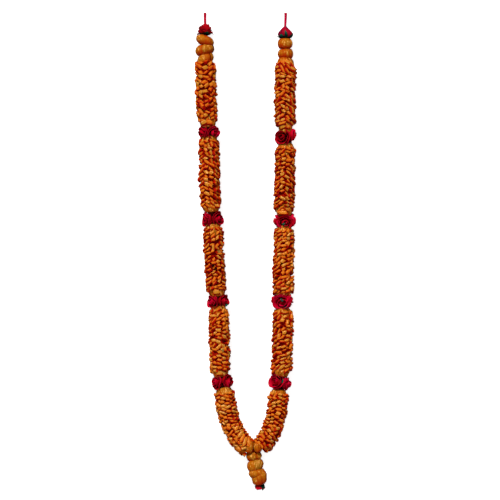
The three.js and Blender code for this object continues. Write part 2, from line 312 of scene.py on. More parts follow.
def begin(add, **size):
    """Starts a model from a primitive, with its place in its mesh."""
    bpy.ops.object.select_all(action="DESELECT")
    add(**size)
    bpy.ops.object.transform_apply(location=True, rotation=True, scale=True)
    return bpy.context.object


@contextmanager
def editing(model):
    only(model)
    bpy.ops.object.mode_set(mode="EDIT")
    yield
    bpy.ops.object.mode_set(mode="OBJECT")


def pick(kind, test):
    """In edit mode, selects what passes the test by its place: points, or faces by their middles."""
    bpy.ops.mesh.select_mode(type=kind)
    bpy.ops.mesh.select_all(action="DESELECT")
    mesh = bmesh.from_edit_mesh(bpy.context.object.data)
    for part in mesh.verts if kind == "VERT" else mesh.faces:
        part.select_set(bool(test(part.co if kind == "VERT" else part.calc_center_median())))
    mesh.select_flush_mode()
    bmesh.update_edit_mesh(bpy.context.object.data)


def pick_all():
    bpy.ops.mesh.select_all(action="SELECT")


def resize(x, y, z, middle=0):
    """In edit mode, stretches what is picked, about a height on Y."""
    bpy.ops.transform.resize(value=(x, y, z), center_override=(0, middle, 0))


def nudge(x, y):
    """In edit mode, moves what is picked."""
    bpy.ops.transform.translate(value=(x, y, 0))


def modify(model, kind, **settings):
    """Adds a modifier and applies it."""
    only(model)
    modifier = model.modifiers.new(kind.title(), kind)
    for name, value in settings.items():
        setattr(modifier, name, value)
    bpy.ops.object.modifier_apply(modifier=modifier.name)
    return model


def thickened(model, thickness=PETAL_THICKNESS, offset=0):
    return modify(model, "SOLIDIFY", thickness=thickness, offset=offset)


def dye(model, name, values):
    """Writes a number for each point, which the materials read by its name."""
    layer = model.data.attributes.get(name) or model.data.attributes.new(name, "FLOAT", "POINT")
    layer.data.foreach_set("value", np.full(len(model.data.vertices), values, np.float32))


def twin(model, tint):
    """A copy with its own mesh and its own tint."""
    copy = model.copy()
    copy.data = model.data.copy()
    bpy.context.scene.collection.objects.link(copy)
    dye(copy, "tint", tint)
    return copy


def shaded(model, share):
    """Dulls a petal to a share of its shade."""
    fold = np.empty(len(model.data.vertices), np.float32)
    model.data.attributes["fold"].data.foreach_get("value", fold)
    dye(model, "fold", fold * share)
    return model


def joined(name, parts):
    """Joins the parts into one, or takes the only one, and names it."""
    only(*parts)
    if len(parts) > 1:
        bpy.ops.object.join()
    piece = bpy.context.object
    piece.name = piece.data.name = name
    return piece


def reshape(model, rule):
    """Moves every point by a rule on the arrays of x, y and z."""
    points = np.stack(rule(*corners(model.data).T), axis=-1)
    move_corners(model.data, points)
    return model


def finished(piece, node, smooth=SOFT):
    """Shades a piece smoothly and puts it in the place of its node."""
    only(piece)
    bpy.ops.object.shade_smooth_by_angle(angle=smooth)
    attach(piece, "root")
    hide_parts(node)


# Finishes


def colour(code):
    """A colour for a socket, from its hexadecimal code."""
    parts = [int(code[i : i + 2], 16) / 255 for i in (0, 2, 4)]
    return (*(c / 12.92 if c < 0.04045 else ((c + 0.055) / 1.055) ** 2.4 for c in parts), 1)


def colours(codes):
    return [colour(code) for code in codes.split()]


class Wire:
    """A shader socket that takes part in sums: each sum adds the node that works it out."""

    def __init__(self, socket):
        self.socket = socket

    def node(self, kind, sockets=None, out=0, **settings):
        """Adds a node of a kind, with its settings first and then its sockets' values or links."""
        tree = self.socket.id_data
        made = tree.nodes.new("ShaderNode" + kind)
        for name, value in settings.items():
            setattr(made, name, value)
        for name, value in (sockets or {}).items():
            if isinstance(value, Wire):
                tree.links.new(value.socket, made.inputs[name])
            else:
                made.inputs[name].default_value = value
        return Wire(made.outputs[out])

    def math(self, operation, *values):
        return self.node("Math", dict(enumerate(values)), operation=operation)

    def __add__(self, other):
        return self.math("ADD", self, other)

    def __sub__(self, other):
        return self.math("SUBTRACT", self, other)

    def __mul__(self, other):
        return self.math("MULTIPLY", self, other)

    def step(self, start, end, low=0.0, high=1.0):
        """A smooth step from low to high as this goes from start to end."""
        sockets = {"Value": self, "From Min": start, "From Max": end, "To Min": low, "To Max": high}
        return self.node("MapRange", sockets, interpolation_type="SMOOTHSTEP")

    def mix(self, without, with_all):
        """A colour between two, with this as the share of the second."""
        return self.node("Mix", {0: self, 6: without, 7: with_all}, out=2, data_type="RGBA")


class Finish:
    """A material with a Principled shader. Its wires start from attributes and Object coordinates."""

    def __init__(self, name, **constants):
        self.material = bpy.data.materials.new(name)
        self.material.use_nodes = True
        self.shader = self.material.node_tree.nodes["Principled BSDF"]
        for socket, value in constants.items():
            self.shader.inputs[socket.replace("_", " ")].default_value = value
        self.root = Wire(self.shader.outputs[0])
        self.place = self.root.node("TexCoord", out="Object")

    def attribute(self, name):
        return self.root.node("Attribute", out="Fac", attribute_name=name)

    def noise(self, scale, detail=2.0, stretch=(1, 1, 1)):
        place = self.root.node("Mapping", {"Vector": self.place, "Scale": stretch})
        return self.root.node("TexNoise", {"Vector": place, "Scale": scale, "Detail": detail}, out="Fac")

    def wear(self, socket, wire):
        self.material.node_tree.links.new(wire.socket, self.shader.inputs[socket])

    def bump(self, height, strength, distance):
        sockets = {"Height": height, "Strength": strength, "Distance": distance}
        self.wear("Normal", self.root.node("Bump", sockets, out="Normal"))


def petal_finish(name, codes, rough, gloss, vary, lines, blotches, highlight_flecks, relief):
    """A petal: dark where it runs in to the string, as painted shade, and redder on its flanks, partly its
    own colour and partly painted shade. It is paler along its fold, and the palest parts are a painted
    highlight.
    Its tint varies it, turns its fold from orange to ochre and, above 1.2, dulls it. Red lines and
    blotches run over the fold, and streaky noise breaks up the painted highlight."""
    root, deep, flank, crest, ochre, dull, painted_highlight = colours(codes)
    finish = Finish(name, Roughness=rough, Specular_IOR_Level=gloss)
    fold, tint = finish.attribute("fold"), finish.attribute("tint")
    mottle = finish.noise(380, 3.0)
    patch = finish.noise(130)
    depth = fold + (mottle - 0.5) * 0.3 + (tint.step(0.0, 1.0) - 0.5) * vary
    streak = finish.noise(420, stretch=(1, 0.25, 1))
    top = (tint.step(0.5, 1.0) + (streak - 0.5) * 1.2).mix(crest, ochre)
    top = tint.step(1.2, 1.5).mix(top, dull)
    top = (streak.step(0.55, 0.7) * lines).mix(top, flank)
    top = (finish.noise(240).step(0.5, 0.58) * blotches).mix(top, flank)
    # Painted shade: root and deep colours where the petal runs in to the string, then redder flanks,
    # partly their own colour and partly painted shade
    body = depth.step(0.0, 0.4).mix(root, deep)
    body = depth.step(0.4, 0.85).mix(body, flank)
    body = (patch.step(0.5, 0.62) * 0.5).mix(body, deep)
    body = depth.step(0.7, 1.05).mix(body, top)
    # Painted highlight: the palest colour where the fold is brightest, broken up by streaks
    finish.wear("Base Color", (depth + (streak - 0.5) * highlight_flecks).step(1.2, 1.6).mix(body, painted_highlight))
    finish.bump(finish.noise(900, stretch=(1, 0.3, 1)) * 0.5 + mottle, 0.5, relief)
    finish.wear("Roughness", mottle.step(0.3, 0.7, rough - 0.1, rough + 0.12))
    return finish.material


def rose_finish():
    """Velvety petals, near black with painted shade in the hollows and brighter at the rims, where painted
    light catches them, crimson or pink by their tint. The bud's are darker.
    """
    hollow_painted_shade, shade, light, rim, pink_rim, bud = colours("1e0002 8c0108 b40212 ac020c d4043c 620226")
    finish = Finish(
        "rose_petal", Roughness=0.6, Specular_IOR_Level=0.04,
        Sheen_Weight=0.02, Sheen_Roughness=0.4, Sheen_Tint=colour("c01040"),
    )
    tint = finish.attribute("tint")
    # Painted shade darkens the petals towards the hollows, and painted light brightens their rims
    depth = finish.attribute("fold") + (finish.noise(200, 3.0) - 0.5) * 0.4
    body = depth.step(0.05, 0.6).mix(hollow_painted_shade, tint.mix(shade, light))
    petal = depth.step(0.65, 1.1).mix(body, tint.mix(rim, pink_rim))
    finish.wear("Base Color", tint.step(1.0, 1.3).mix(petal, bud))
    finish.bump(finish.noise(500, 3.0), 0.4, 0.0008)
    return finish.material


def sepal_finish():
    """Leathery sepals, nearly black at the base and sea green towards their tips."""
    finish = Finish("sepal", Roughness=0.7, Specular_IOR_Level=0.05)
    mottle = finish.noise(350, 3.0)
    shade = (finish.attribute("fold") + (mottle - 0.5) * 0.5).step(0.1, 1.0)
    finish.wear("Base Color", shade.mix(*colours("00180f 045542")))
    finish.bump(finish.noise(900), 0.3, 0.0005)
    return finish.material


def packed_finish(name, codes, rough, gloss, patches, relief):
    """Crowded petals in the shadow, darkened with painted shade: their two colours, where one gives way to
    the other, and relief.
    """
    finish = Finish(name, Roughness=rough, Specular_IOR_Level=gloss)
    mottle = finish.noise(260, 3.0)
    finish.wear("Base Color", mottle.step(*patches).mix(*colours(codes)))
    finish.bump(mottle, *relief)
    return finish.material


def yarn_finish():
    """Dyed cotton yarn, darker between its plies with painted shade."""
    finish = Finish("dyed_yarn", Roughness=0.9, Specular_IOR_Level=0.02)
    fibre = finish.noise(1500, 3.0, stretch=(1, 0.2, 1))
    shade = (finish.attribute("fold") + (fibre - 0.5) * 0.6).step(0.0, 1.0)
    finish.wear("Base Color", shade.mix(*colours("8c0020 b4002a")))
    finish.bump(fibre, 0.4, 0.0004)
    return finish.material


# In each petal finish the root and deep colours are painted shade towards the string, and the last one is
# a painted highlight
ORANGE = petal_finish(
    "orange_petal", "8c0402 b01602 b63a05 d47214 bc7a1e 86682a f6b468",
    rough=0.5, gloss=0.03, vary=0.3, lines=0.3, blotches=0.15, highlight_flecks=1.0, relief=0.0006,
)
GOLD = petal_finish(
    "golden_petal", "8c1202 a82602 a84404 b0640a 9c6410 86682a eca850",
    rough=0.45, gloss=0.02, vary=0.35, lines=0.5, blotches=0.4, highlight_flecks=3.0, relief=0.002,
)
CRIMSON = rose_finish()
GREEN = sepal_finish()
# Packed petals, dark red as painted shade over the petals' own red, and near black painted shadow for the
# hearts of flowers and for deep gaps
CORE = packed_finish("packed_petals", "4a0301 a00e02", 0.8, 0.03, (0.36, 0.6), (1.0, 0.0015))
PAINTED_SHADOW = packed_finish("rose_heart", "100001 320104", 0.9, 0.02, (0.4, 0.65), (0.8, 0.001))
YARN = yarn_finish()


# Petals


def bar(name, length, thick, flare, arch, skew, tip, seed):
    """A petal folded over into a short bar along X. Its flat fold faces +Y, at the height of the
    origin, and its edges spread by the flare as they run down towards the string. Its ends drop by the
    arch, slant by the skew and are paler by the tip."""
    model = begin(
        bpy.ops.mesh.primitive_cylinder_add, vertices=8, radius=thick / 2 / math.cos(math.pi / 8),
        depth=length, end_fill_type="NGON", location=(0, -thick / 2, 0), rotation=(0, math.pi / 2, 0),
    )
    with editing(model):
        pick_all()
        bpy.ops.transform.rotate(value=math.pi / 8, orient_axis="X", center_override=(0, -thick / 2, 0))
        for share in (-0.3, 0, 0.3):
            pick_all()
            bpy.ops.mesh.bisect(plane_co=(share * length, 0, 0), plane_no=(1, 0, 0))
        pick("VERT", lambda p: p.y > -0.1 * thick)
        resize(1, 1, FLAT_TOP)
        pick("VERT", lambda p: -0.4 * thick < p.y < -0.2 * thick)
        nudge(0, 0.08 * thick)
        pick("VERT", lambda p: p.y < -0.6 * thick)
        resize(1.1, 1, FOOT_SPREAD * flare, -thick)
        pick("VERT", lambda p: -0.8 * thick < p.y < -0.6 * thick)
        nudge(0, 0.06 * thick)
        pick("VERT", lambda p: p.y < -0.9 * thick)
        resize(1, 1, FOOT_SPREAD, -thick)
        nudge(0, thick - FOLD_DEPTH)
        pick("VERT", lambda p: abs(p.x) > 0.4 * length)
        resize(1, 0.95, 0.94, -thick / 2)
        nudge(0, -arch)
        for edge in (-1, 1):
            pick("VERT", lambda p: abs(p.x) > 0.4 * length and p.z * edge > 0)
            nudge(edge * skew * thick, 0)
        pick("FACE", lambda p: abs(p.x) > 0.42 * length)
        bpy.ops.mesh.inset(thickness=0.12 * thick, depth=-0.1 * thick, use_individual=True)
        pick_all()
        bpy.ops.transform.vertex_random(offset=0.06 * thick, seed=seed)
    x, y, z = corners(model.data).T
    # Painted shade over the petal's own redder base: its shade falls from the fold down towards the string
    fold = np.interp(y, (-FOLD_DEPTH, -0.65 * thick, -0.24 * thick, -0.03 * thick), (0, 0.36, 0.76, 1.0))
    fold = fold + tip * (np.abs(x) > 0.4 * length) * (y > -0.35 * thick)
    # Painted light: the up-string side of the petal's edges and of its face is brighter, towards the key
    dye(model, "fold", fold * (1 - np.where(y < -0.12 * thick, PAINTED_LIGHT_EDGE, PAINTED_LIGHT_FACE) * z / thick))
    model.data.materials.append(ORANGE)
    model.name = name
    return model


def bars(name, seed, sizes):
    """Folded petals of one kind, each from its length, thickness, flare, arch, skew and tip."""
    return [bar(f"{name}_{number}", *size, seed + number) for number, size in enumerate(sizes)]


BARS = bars("folded_petal", 1, (
    (0.0094, 0.0048, 1.0, 0.0002, 0.25, 0.0),
    (0.0086, 0.0056, 1.0, 0.0001, -0.2, 0.1),
    (0.0104, 0.0044, 1.05, 0.0003, -0.3, 0.05),
    (0.0092, 0.006, 1.0, 0.0001, 0.2, 0.0),
    (0.011, 0.0046, 1.0, 0.0003, 0.35, 0.1),
    (0.0078, 0.005, 1.05, 0.0002, -0.3, 0.15),
))
BROAD = bars("broad_petal", 21, (
    (0.0112, 0.0064, 1.0, 0.0003, 0.25, 0.05),
    (0.01, 0.007, 1.0, 0.0002, -0.2, 0.0),
))
STRIPS = bars("strip_petal", 24, (
    (0.0134, 0.0048, 1.05, 0.001, 0.3, 0.05),
    (0.0148, 0.0052, 1.0, 0.0012, -0.3, 0.0),
))
LONG = bar("long_petal", 0.02, 0.0056, 1.1, 0.0014, 0.3, 0.0, 23)
BULGE = bar("bulging_petal", 0.013, 0.0086, 1.0, 0.0014, 0.1, 0.0, 32)
TIP = bar("petal_tip", 0.0052, 0.0046, 1.0, 0.0, 0.3, 0.0, 33)
# A near black petal: painted shadow where the rope shows a deep gap
PAINTED_SHADOW_PIT = bar("painted_shadow_petal", 0.0046, 0.0042, 1.0, 0.0, 0.0, 0.0, 31)
PAINTED_SHADOW_PIT.data.materials[0] = PAINTED_SHADOW


def blank(name, outline, across, material):
    """A flat petal that runs up Y from 0 to 1. Each row is as wide as its share of the outline."""
    rows = len(outline) - 1
    sheet = begin(bpy.ops.mesh.primitive_grid_add, x_subdivisions=across, y_subdivisions=rows, size=2)
    with editing(sheet):
        pick_all()
        resize(1, 0.5, 1, -1)
        nudge(0, 1)
        for row, share in enumerate(outline):
            pick("VERT", lambda p: abs(p.y - row / rows) < 0.3 / rows)
            resize(share, 1, 1)
    sheet.name = name
    sheet.data.materials.append(material)
    return sheet


BALL_PETAL = blank("ball_petal", (0.45, 0.75, 0.95, 1, 1, 1, 1, 0.95, 0.75, 0.45), 4, GOLD)
ROSE_PETAL = blank("rose_petal", (0.5, 0.85, 1.0, 1.05, 1.05, 0.95, 0.62), 6, CRIMSON)
BUD_PETAL = blank("bud_petal", (0.7, 0.95, 1.0, 1.0, 0.95, 0.85, 0.7, 0.5), 6, CRIMSON)
RAGGED_PETAL = blank("ragged_petal", (0.5, 0.85, 1.0, 0.95, 0.75, 0.5, 0.1), 6, CRIMSON)
SEPAL = blank("sepal", (0.8, 1, 1, 0.9, 0.7, 0.45, 0.08), 4, GREEN)


def laid(sheet, tint, fold, rule):
    """A copy of a flat petal, dyed and bent by rules on how far a point is across and up it."""
    petal = twin(sheet, tint)
    across, up, _ = corners(petal.data).T
    dye(petal, "fold", fold(across, up))
    move_corners(petal.data, np.stack(rule(across, up), axis=-1))
    return petal


def wound(out, turn, down):
    """A place round the string: how far out it is, how far round from the top and how far down."""
    return out * np.sin(turn), out * np.cos(turn), down


def kernel(reach, length, material=CORE, blunt=2.0):
    """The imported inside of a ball, a rope or a rose, up Z from 0. Its ends are as blunt as it says."""
    heart = begin(bpy.ops.mesh.primitive_uv_sphere_add, segments=16, ring_count=12, radius=1)
    x, y, z = corners(heart.data).T
    swell = (1 - np.abs(z) ** blunt) ** (1 / blunt) / np.maximum(np.hypot(x, y), 1e-6)
    swell[np.hypot(x, y) < 1e-3] = 1
    reshape(heart, lambda x, y, z: (x * swell * reach, y * swell * reach, (z + 1) * length / 2))
    dye(heart, "fold", 0.0)
    dye(heart, "tint", 0.5)
    heart.data.materials.append(material)
    return heart


# Balls


def puff(
    reach, length, petals, draw, taper=1.0, until=1.0, roundness=0.55, tilt=0.0, settle=0.0,
    red=0.5, glow=1.05, valley_shade=0.75, crumple=0.0,
):
    """Long petals laid from one end of a ball to the other, each lapping the next.

    Taper is its reach at the far end, until is how much of it there is, and roundness is how slowly
    it swells from its ends. Tilt puts its right side further down the string, less so where the petals
    settle. Glow sets how bright they are in their middles, and their raised edges are brighter with
    painted light. They turn redder towards the ball's ends, more so at the far one, partly their own
    colour and partly painted shade, and darker in the valleys between them with painted shade. Crumple
    creases them.
    """
    parts = []
    for i in range(petals):
        at = 2 * math.pi * (i + 0.35 * draw.uniform(-1, 1)) / petals
        grow = draw.uniform(0.94, 1.04)
        half = 1.8 * math.pi / petals * draw.uniform(0.85, 1.2)
        curl = SWIRL + draw.uniform(-0.25, 0.25)

        def rule(across, up):
            polar = math.pi * until * (0.04 + 0.92 * up)
            out = reach * grow * np.sin(polar) ** roundness * (1 - (1 - taper) * up**2)
            out = out * (1 - 0.1 * across**2) + LAP * across
            crease = np.sin(13 * up + 3 * across + 40 * grow) * np.cos(4 * across - 5 * up + 60 * grow)
            out = out * (1 + crumple * crease)
            turn = at - half * across + curl * (up - 0.5)
            down = length * (0.5 - 0.5 * np.cos(polar)) + tilt * out * np.sin(turn) * (1 - settle * up)
            return wound(out, turn, down)

        # Painted shade in the valleys and towards the ball's far end, over the petals' own redder ends,
        # and painted light on their raised edges
        def fold(across, up):
            middle = glow + 0.2 * across - valley_shade * np.abs(across) ** 4
            return middle * (1.04 - red * np.abs(2 * up - 0.8) ** 1.5)

        parts.append(laid(BALL_PETAL, draw.random(), fold, rule))
    return thickened(joined("petals", parts), offset=-1)


def petal_ball(route, node, petals, seed, grow=1.03, stretch=(0.06, 0.1), shift=(0.0, 0.0), **shape):
    """A ball whose ends run on into its neighbours, by shares of its length, and shift to one side."""
    draw = random.Random(seed)
    start, end, reach = route.measure(node)
    length = (end - start) * (1 + sum(stretch))
    ball = puff(reach * grow, length, petals, draw, **shape)
    ball = joined(node + "_petals", [ball, kernel(reach * BALL_HEART, length)])
    reshape(ball, lambda x, y, z: (x + np.interp(z, (0, length), shift), y, z))
    finished(route.thread(ball, start - (end - start) * stretch[0]), node)


# Shapes of the balls, down each strand and down the pendant
CREASED = dict(valley_shade=0.3, crumple=0.03)
SMOOTH = dict(roundness=0.45, red=0.8, valley_shade=0.4, crumple=0.015)
CRUMPLED = dict(roundness=0.5, glow=1.0, valley_shade=0.3, crumple=0.04)
TOP_BALLS = {
    "left": (
        dict(CREASED, tilt=0.24, stretch=(-0.08, 0.12), grow=1.08, glow=0.97, red=0.75),
        dict(CREASED, tilt=-0.14, grow=1.1, glow=0.94, red=0.75),
        dict(CREASED, tilt=-0.28, stretch=(0.15, 0.7), grow=1.12, glow=0.95, red=0.6),
    ),
    "right": (
        dict(SMOOTH, stretch=(0.05, 0.05)),
        dict(SMOOTH, stretch=(0.05, 0.15)),
        dict(stretch=(0.1, 1.5), grow=1.3),
    ),
}
PENDANT_BALLS = (
    dict(CRUMPLED, stretch=(0.3, 0.1), grow=1.16),
    dict(CRUMPLED, stretch=(0.15, 0.15), tilt=-0.12, grow=1.1),
    dict(CRUMPLED, stretch=(0.25, 0.3), tilt=0.1, grow=1.1, shift=(-0.0006, -0.001)),
    dict(
        CRUMPLED, stretch=(0.4, 0.1), tilt=-0.16, settle=1.0, taper=0.8, until=0.82, roundness=0.38,
        grow=1.12, shift=(0.004, 0.0),
    ),
)

# The balls that end the strands stand upright in the picture: their middles, reaches, lengths and
# turns. Packed petals fill the V above each: their upper end, their reach and their length.
END_BALLS = {
    "left": ((0.0085, -0.3985, 0.029), 0.0092, 0.027, -0.12),
    "right": ((0.0258, -0.3995, 0.028), 0.009, 0.022, 0.15),
}
PACKING = ((0.0165, -0.386, 0.018), 0.009, 0.026)


def end_ball(side, seed):
    """The ball that ends a strand, over the last of the rope."""
    middle, reach, length, turn = END_BALLS[side]
    upright = Matrix.Rotation(turn, 4, "Z") @ Matrix.Rotation(math.pi / 2, 4, "X")
    draw = random.Random(seed)
    petals = puff(reach, length, END_BALL_PETALS, draw, taper=0.85, valley_shade=0.4, crumple=0.03)
    ball = joined(f"{side}_end_ball_petals", [petals, kernel(reach * BALL_HEART, length)])
    ball.data.transform(Matrix.Translation(middle) @ upright @ Matrix.Translation((0, 0, -length / 2)))
    end, reach, length = PACKING
    packing = kernel(reach, length)
    packing.data.transform(Matrix.Translation(end) @ upright)
    finished(joined(ball.name, [ball, packing]), f"{side}_end_ball")


# Ropes


# How a rope's petals are laid. Row and column are their pitches along it and round it, and turn is
# where the first column stands. Broad, strips and gaps are the shares of broad petals, of long ones and
# of gaps. A petal slopes by the lean, and by the slant to one side or the other: phase and spin say
# where the sides are, and jitter how unruly they are. Girth is added to the rope's reach, and shade is
# a share of the petals' own. Caps are the lengths that the balls at its ends take up, with the balls'
# reach and how far they run on over the rope's ends.
PLAIN_WEAVE = dict(
    row=0.0084, column=0.0118, turn=0.0, size=1.0, lean=(0.0, 0.0), slant=(0.6, 0.6), phase=0.0,
    spin=1.0, jitter=0.26, broad=0.06, strips=0.08, gaps=0.02, girth=0.0, shade=1.0,
    caps=(0.004, 0.0045), ball=0.0174, overrun=0.0045,
)
WEAVES = {
    "left": (
        dict(
            row=0.01, column=0.012, size=1.06, slant=(-0.6, -0.6), jitter=0.2, broad=1.1, strips=0.1,
            gaps=0.0, girth=0.0004, shade=0.88, caps=(0.002, 0.0085),
        ),
        dict(row=0.0088, turn=0.3, size=1.04, phase=0.6, jitter=0.34, broad=0.15, strips=0.2),
        dict(turn=-0.15, size=0.96, phase=-0.4, spin=0.0, gaps=0.05, caps=(0.0035, 0.008)),
        dict(
            row=0.0086, size=1.03, lean=(-0.6, 0.55), slant=(-0.1, -0.1), phase=0.6, jitter=0.34,
            broad=0.3, strips=0.2, caps=(0.0035, 0.0055),
        ),
        dict(
            row=0.0078, column=0.0112, turn=0.35, size=0.97, lean=(0.32, 0.25), slant=(0.1, -0.8),
            jitter=0.32, caps=(0.0055, -0.001),
        ),
    ),
    "right": (
        dict(
            row=0.0088, turn=0.5, size=1.08, lean=(0.1, 0.1), phase=0.4, spin=0.0, jitter=0.3, broad=0.2,
            strips=0.4, gaps=0.0, girth=0.0004, caps=(0.001, 0.005), ball=0.015, overrun=0.012,
        ),
        dict(turn=-0.45, phase=-0.1, strips=0.12),
        dict(
            size=1.04, lean=(-0.7, -0.7), slant=(0.1, 0.1), phase=0.5, jitter=0.3, broad=0.1, strips=0.4,
            gaps=0.05, caps=(0.0032, 0.0025),
        ),
        dict(
            row=0.0088, turn=0.2, size=1.03, lean=(-0.6, -0.6), slant=(0.2, 0.2), jitter=0.32, broad=0.2,
            strips=0.2, caps=(0.0032, 0.0055),
        ),
        dict(
            row=0.0082, column=0.0112, turn=0.25, size=0.98, lean=(0.15, 0.1), slant=(0.15, 0.1),
            phase=0.2, jitter=0.38, broad=0.2, strips=0.15, caps=(0.0031, -0.001),
        ),
    ),
}


# Petals apart from the weave, by strand and rope: where they show, how far out from the string they
# are, their slope, their shape and their tint, which is dull above 1.2. The pits are near black
# painted shadow in deep gaps.
EXTRA_PETALS = {
    ("left", 1): [
        ((-0.088, 0.2812), 0.0204, -0.25, BULGE, 1.25), ((-0.0752, 0.2816), 0.0198, 0.2, BULGE, 0.4),
    ],
    ("right", 1): [
        ((0.077, 0.273), 0.0176, -0.3, BULGE, 1.25), ((0.088, 0.2735), 0.017, 0.3, BULGE, 0.3),
        ((0.0782, 0.4065), 0.018, -0.35, BULGE, 0.3), ((0.0888, 0.406), 0.018, 0.35, BULGE, 0.5),
    ],
    ("left", 3): [
        ((-0.0546, 0.0101), 0.0225, 0.9, BROAD[1], 1.5), ((-0.0683, -0.0187), 0.0226, 1.4, PAINTED_SHADOW_PIT, 0.5),
        ((-0.0632, -0.0238), 0.0226, 0.7, PAINTED_SHADOW_PIT, 0.5), ((-0.0685, -0.0324), 0.0226, -0.4, PAINTED_SHADOW_PIT, 0.5),
        ((-0.061, -0.0745), 0.019, 0.0, BULGE, 1.1),
    ],
    ("left", 4): [
        ((-0.0456, -0.1947), 0.0225, -0.9, BROAD[1], 1.5), ((-0.0345, -0.21), 0.023, 1.2, BROAD[0], 0.9),
        ((-0.056, -0.2432), 0.019, 0.1, BULGE, 1.1),
    ],
    ("left", 5): [
        ((-0.009, -0.3706), 0.0232, -0.35, LONG, 0.9), ((-0.0052, -0.3782), 0.0236, -0.45, LONG, 0.4),
        ((-0.0008, -0.3847), 0.023, -0.5, LONG, 0.8), ((0.0068, -0.3835), 0.0226, -0.9, LONG, 0.6),
        ((-0.018, -0.3805), 0.0234, -0.87, STRIPS[0], 0.5),
        ((-0.0174, -0.3585), 0.0234, -0.47, STRIPS[1], 0.7),
        ((-0.0115, -0.412), 0.02, 1.3, BARS[5], 0.4), ((-0.018, -0.409), 0.02, 1.5, BARS[5], 0.8),
        ((-0.0118, -0.416), 0.0236, 1.3, TIP, 0.2), ((-0.0046, -0.417), 0.024, 1.7, TIP, 0.2),
        ((-0.024, -0.402), 0.0205, 1.2, BARS[1], 0.6),
    ],
    ("right", 2): [((0.0775, 0.0925), 0.0216, 0.05, LONG, 0.7)],
    ("right", 5): [
        ((0.0903, -0.328), 0.0225, 0.3, BROAD[1], 0.9), ((0.078, -0.362), 0.0225, 1.2, BROAD[0], 0.4),
        ((0.0473, -0.406), 0.02, -1.2, BARS[5], 0.7),
    ],
}


def placing(around, station, reach, slope, scale, tilt, tuck=0.0):
    """The matrix that puts a folded petal on a rope, tilted a little round it and along it, with one
    end tucked in."""
    radial = Vector((math.sin(around), math.cos(around), 0))
    tangent = Vector((math.cos(around), -math.sin(around), 0))
    down = Vector((0, 0, 1))
    out = (radial + tilt[0] * tangent + tilt[1] * down).normalized()
    lengthwise = math.cos(slope) * tangent + math.sin(slope) * down
    lengthwise = (lengthwise - lengthwise.dot(out) * out).normalized()
    lengthwise, out = lengthwise - tuck * out, out + tuck * lengthwise
    breadth = lengthwise.cross(out)
    turn = Matrix((lengthwise * scale[0], out * scale[1], breadth * scale[2])).transposed().to_4x4()
    return Matrix.Translation(radial * reach + down * station) @ turn


def woven_petals(plan, first, last, inner, draw):
    """The petals of a rope's weave, from its first station to its last. A rope that meets the other
    strand's has its inner side to the right, 1, or to the left, -1."""
    rows = round((last - first) / plan["row"])
    columns = round(2 * math.pi * ROPE_REACH / plan["column"])
    petals = []
    for column in range(columns):
        inset = 0.3 * (column % 2)
        for place in np.linspace(inset, rows - inset, rows + 1 - column % 2):
            station = first + (last - first) * (float(place) + draw.uniform(-0.2, 0.2)) / rows
            around = 2 * math.pi * (column + plan["turn"] + draw.uniform(-0.18, 0.18)) / columns
            before, after = station - first, last - station
            near = before if inner else min(before, after)
            rise = math.sin(min(1, max(0, near / SHOULDER)) * math.pi / 2)
            outward = (1 - rise) * (END_FACING if after < before else -END_FACING)
            if inner and after < BLUNT_EDGE:
                outward += END_FACING
            reach = COLLAR_REACH + (ROPE_REACH - COLLAR_REACH) * rise
            reach += draw.uniform(-REACH_SPREAD, REACH_SPREAD)
            reach += plan["girth"]
            nearness = max(0, math.sin(around) * inner) * max(0, 1 - after / MEETING_LENGTH)
            reach -= INNER_DRAW * nearness
            station += INNER_RUN * nearness
            wave = math.sin(around + plan["phase"] + plan["spin"] * station)
            lean, slant = (np.interp(station, (first, last), plan[name]) for name in ("lean", "slant"))
            side = math.copysign(1, wave + draw.gauss(0, 0.15))
            slope = lean + slant * side + draw.gauss(0, plan["jitter"])
            if draw.random() < plan["gaps"]:
                continue
            shapes = draw.choices((BROAD, STRIPS, BARS), (plan["broad"], plan["strips"], 1))[0]
            petal = shaded(twin(draw.choice(shapes), draw.random()), plan["shade"])
            scale = [plan["size"] * draw.uniform(*span) for span in PETAL_SPANS]
            tilt = (draw.uniform(*SIDE_TILTS), draw.uniform(*END_TILTS) + outward)
            tuck = draw.gauss(TUCK, 0.08) * (1 if draw.random() < 0.8 else -1)
            petal.data.transform(placing(around, station, reach, slope, scale, tilt, tuck))
            petals.append(petal)
    return petals


def extra_petal(route, start, place, reach, slope, shape, tint):
    """A petal apart from the weave, where it shows in the picture."""
    station = route.nearest(np.array([[*place, MIDDLE_HEIGHT]]))[0][0]
    middle, side, _, _ = route.frames(station)
    offset = (place - middle[:2]) @ side[:2]
    around = math.asin(max(-1, min(1, offset / reach)))
    petal = twin(shape, tint)
    petal.data.transform(placing(around, station - start, reach, slope, (1, 1, 1), (0, 0)))
    return petal


def rope_cap(plan, draw):
    """The ball of smooth petals at a rope's tied end."""
    reach = plan["ball"]
    length = 1.2 * reach + 0.02
    cap = puff(reach, length, CAP_PETALS, draw, until=0.6, roundness=0.27, red=0.12, valley_shade=0.6)
    return reshape(cap, lambda x, y, z: (x, y, z - plan["overrun"]))


